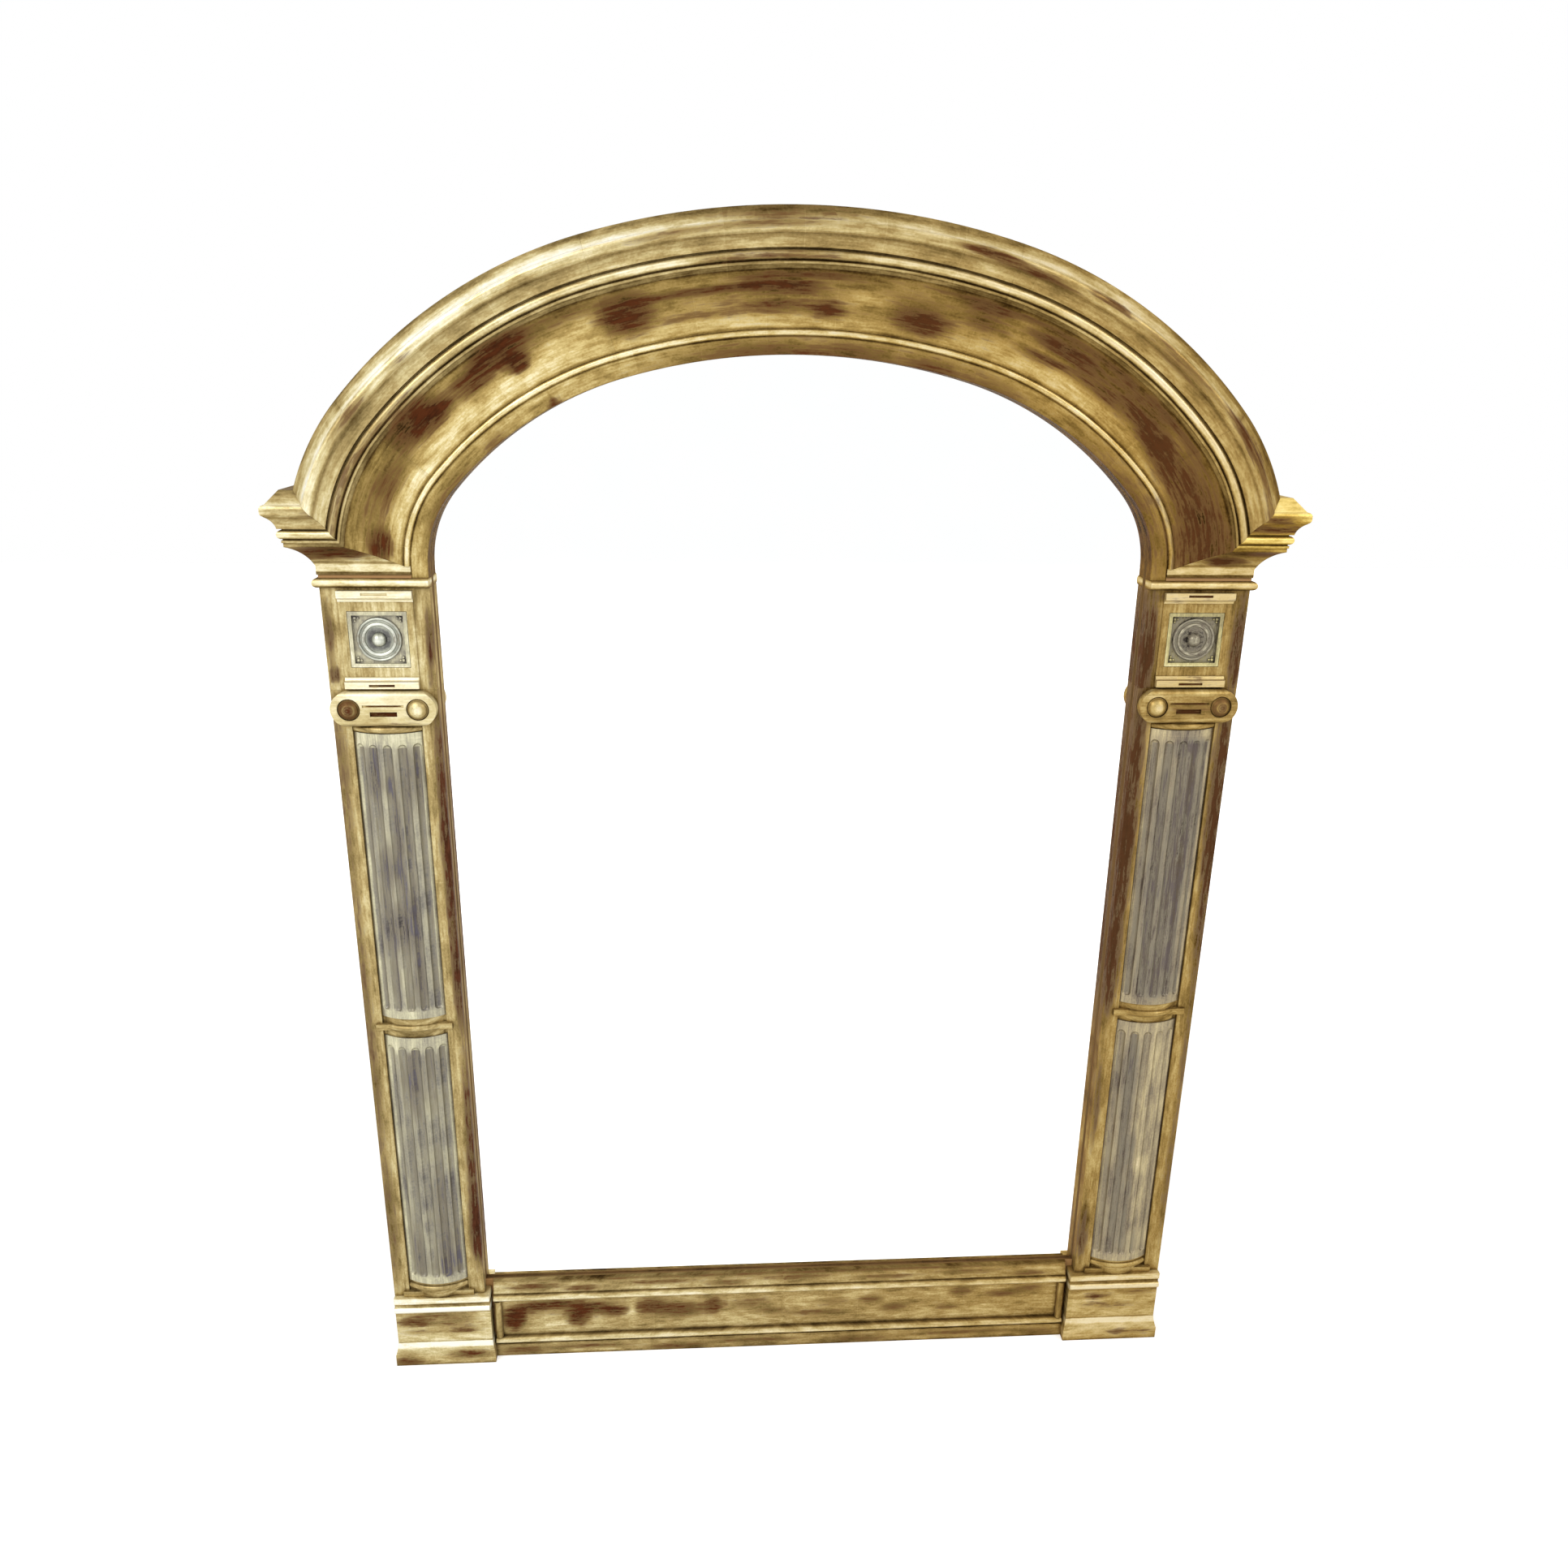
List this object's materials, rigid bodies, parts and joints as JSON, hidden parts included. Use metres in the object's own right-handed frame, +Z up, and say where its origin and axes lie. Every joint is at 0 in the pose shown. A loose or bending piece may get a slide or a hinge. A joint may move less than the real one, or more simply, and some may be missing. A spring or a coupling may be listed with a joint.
{
  "type": "overmantel mirror",
  "caption": "Arched gilt overmantel mirror: fluted silvered pilasters on plinths carry an eared cornice that runs over the glass as a five-centred arch.",
  "frame": {"origin": "middle of the underside, at the middle of the depth, on the shelf that the mirror stands on", "axes": "+Z up; the mirror faces -Y and its back lies towards +Y; +X to the right as a viewer sees the front"},
  "size_m": [1.272, 0.09, 1.634],
  "materials": {
    "gilding": "leaf gilding on gesso and pine, burnished on the mouldings",
    "worn_gilding": "leaf gilding on gesso and pine, rubbed through to a red-brown bole",
    "silver_leaf": "toned silver leaf on gesso and pine, streaked",
    "pine_carcass": "bare sawn pine, aged",
    "pine_backboard": "thin pine boarding, aged",
    "silvered_glass": "plate glass silvered behind",
    "steel_plate": "zinc-plated pressed steel",
    "brass_screw": "countersunk brass wood screw"
  },
  "bodies": {
    "root": {"stile_core_left": "pine_carcass", "stile_core_right": "pine_carcass", "rail_core": "pine_carcass", "arch_core_left": "pine_carcass", "arch_core_crown": "pine_carcass", "arch_core_right": "pine_carcass", "arch_cove_haunch_left": "worn_gilding", "arch_cove_shoulder_left": "worn_gilding", "arch_cove_crown": "worn_gilding", "arch_cove_shoulder_right": "worn_gilding", "arch_cove_haunch_right": "worn_gilding", "arch_cap_haunch_left": "gilding", "arch_cap_shoulder_left": "gilding", "arch_cap_crown": "gilding", "arch_cap_shoulder_right": "gilding", "arch_cap_haunch_right": "gilding", "ear_block_left": "pine_carcass", "ear_block_right": "pine_carcass", "ear_cove_left": "gilding", "ear_cove_right": "gilding", "ear_cap_left": "gilding", "ear_cap_right": "gilding", "astragal_left": "gilding", "astragal_right": "gilding", "frieze_block_left": "worn_gilding", "frieze_block_right": "worn_gilding", "frieze_tile_left": "silver_leaf", "frieze_tile_right": "silver_leaf", "frieze_tablets": "gilding", "roundels": "silver_leaf", "volute_capital_left": "gilding", "volute_capital_right": "gilding", "volute_bosses": "gilding", "neck_ring_left": "gilding", "neck_ring_right": "gilding", "pilaster_face_left": "worn_gilding", "pilaster_face_right": "worn_gilding", "upper_shaft_left": "silver_leaf", "upper_shaft_right": "silver_leaf", "mid_ring_left": "gilding", "mid_ring_right": "gilding", "lower_shaft_left": "silver_leaf", "lower_shaft_right": "silver_leaf", "base_ring_left": "gilding", "base_ring_right": "gilding", "plinth_block_left": "worn_gilding", "plinth_block_right": "worn_gilding", "plinth_cap_left": "gilding", "plinth_cap_right": "gilding", "plinth_foot_left": "gilding", "plinth_foot_right": "gilding", "rail_panel": "worn_gilding", "rail_sight_moulding": "gilding", "rail_foot_moulding": "gilding", "rail_end_beads": "gilding", "mirror_glass": "silvered_glass", "backboard": "pine_backboard", "backing_blocks": "pine_carcass", "keyhole_plates": "steel_plate", "keyhole_screws": "brass_screw"}
  },
  "joints": []
}
